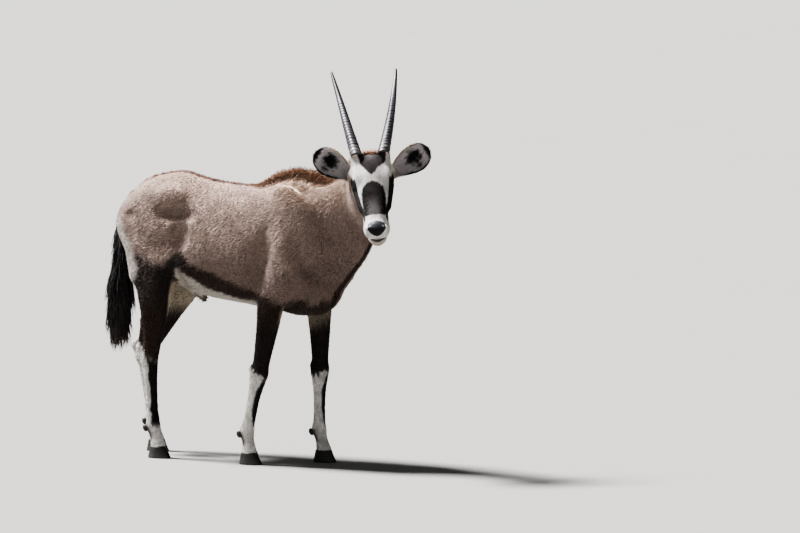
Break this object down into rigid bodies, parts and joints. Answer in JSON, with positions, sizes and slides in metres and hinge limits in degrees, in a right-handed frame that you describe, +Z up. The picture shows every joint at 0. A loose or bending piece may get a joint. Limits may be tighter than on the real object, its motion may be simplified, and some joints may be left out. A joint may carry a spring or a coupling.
{
  "type": "gemsbok",
  "caption": "Life-size still model of a young gemsbok, standing, with its head turned to its right.",
  "frame": {"origin": "on the floor under the middle of the model's box", "axes": "+X the way the body faces, +Y the animal's left, +Z up"},
  "size_m": [1.432, 0.4817, 1.5184],
  "materials": {
    "coat": "matte",
    "white_fur": "matte",
    "dark_fur": "matte",
    "tail_hair": "satin",
    "horn": "satin",
    "hoof": "satin",
    "eye": "gloss"
  },
  "bodies": {
    "root": {"torso": "coat", "neck": "coat", "head": "white_fur", "tail": "tail_hair", "ear_left": "white_fur", "horn_left": "horn", "eye_left": "eye", "fore_left_upper": "dark_fur", "fore_left_cannon": "white_fur", "fore_left_claw_inner": "hoof", "fore_left_claw_outer": "hoof", "fore_left_dewclaw_inner": "hoof", "fore_left_dewclaw_outer": "hoof", "hind_left_upper": "dark_fur", "hind_left_cannon": "white_fur", "hind_left_claw_inner": "hoof", "hind_left_claw_outer": "hoof", "hind_left_dewclaw_inner": "hoof", "hind_left_dewclaw_outer": "hoof", "ear_right": "white_fur", "horn_right": "horn", "eye_right": "eye", "fore_right_upper": "dark_fur", "fore_right_cannon": "white_fur", "fore_right_claw_inner": "hoof", "fore_right_claw_outer": "hoof", "fore_right_dewclaw_inner": "hoof", "fore_right_dewclaw_outer": "hoof", "hind_right_upper": "dark_fur", "hind_right_cannon": "white_fur", "hind_right_claw_inner": "hoof", "hind_right_claw_outer": "hoof", "hind_right_dewclaw_inner": "hoof", "hind_right_dewclaw_outer": "hoof"}
  },
  "joints": []
}
